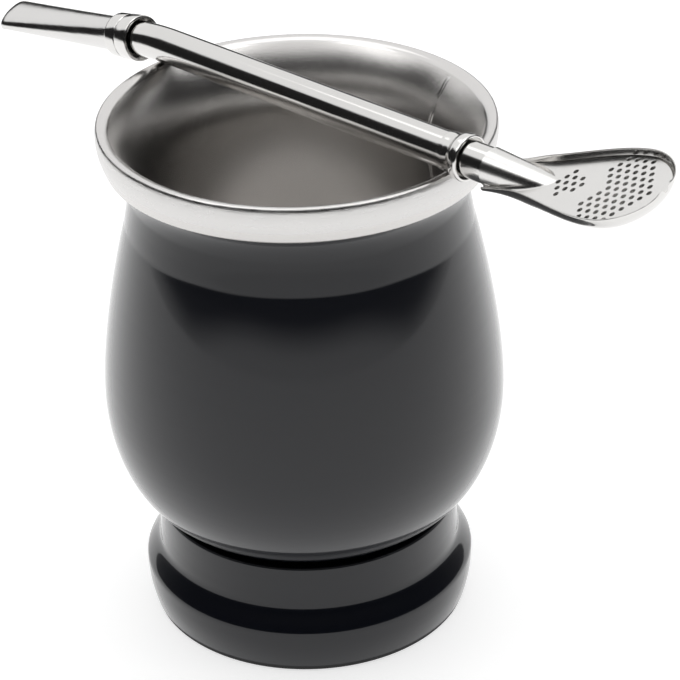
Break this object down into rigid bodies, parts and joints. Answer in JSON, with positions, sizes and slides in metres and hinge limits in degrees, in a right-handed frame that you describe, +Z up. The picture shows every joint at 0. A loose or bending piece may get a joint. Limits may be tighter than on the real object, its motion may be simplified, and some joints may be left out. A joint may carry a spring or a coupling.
{
  "type": "mate cup with bombilla",
  "caption": "Double-wall gourd-shaped mate cup with steel rim, black belly and foot, and a steel drinking straw with a strainer spoon laid across the rim.",
  "frame": {"origin": "centre of the underside of the base plate, on the cup's axis", "axes": "+Z up along the cup's axis, +X along the straw's tube towards its strainer spoon, +Y to its left"},
  "size_m": [0.1801, 0.0828, 0.1274],
  "materials": {
    "brushed_steel": "brushed around the rim, satin inside",
    "black_enamel": "glossy black lacquer",
    "base_black": "matt black",
    "polished_steel": "polished stainless steel",
    "satin_steel": "satin stainless steel with punched holes"
  },
  "bodies": {
    "root": {"inner_cup": "brushed_steel", "outer_shell": "black_enamel", "base_plate": "base_black", "bombilla_tube": "polished_steel", "mouthpiece": "polished_steel", "upper_collar": "polished_steel", "lower_collar": "polished_steel", "filter_neck": "polished_steel", "spoon_shell": "polished_steel", "strainer_plate": "satin_steel"}
  },
  "joints": []
}
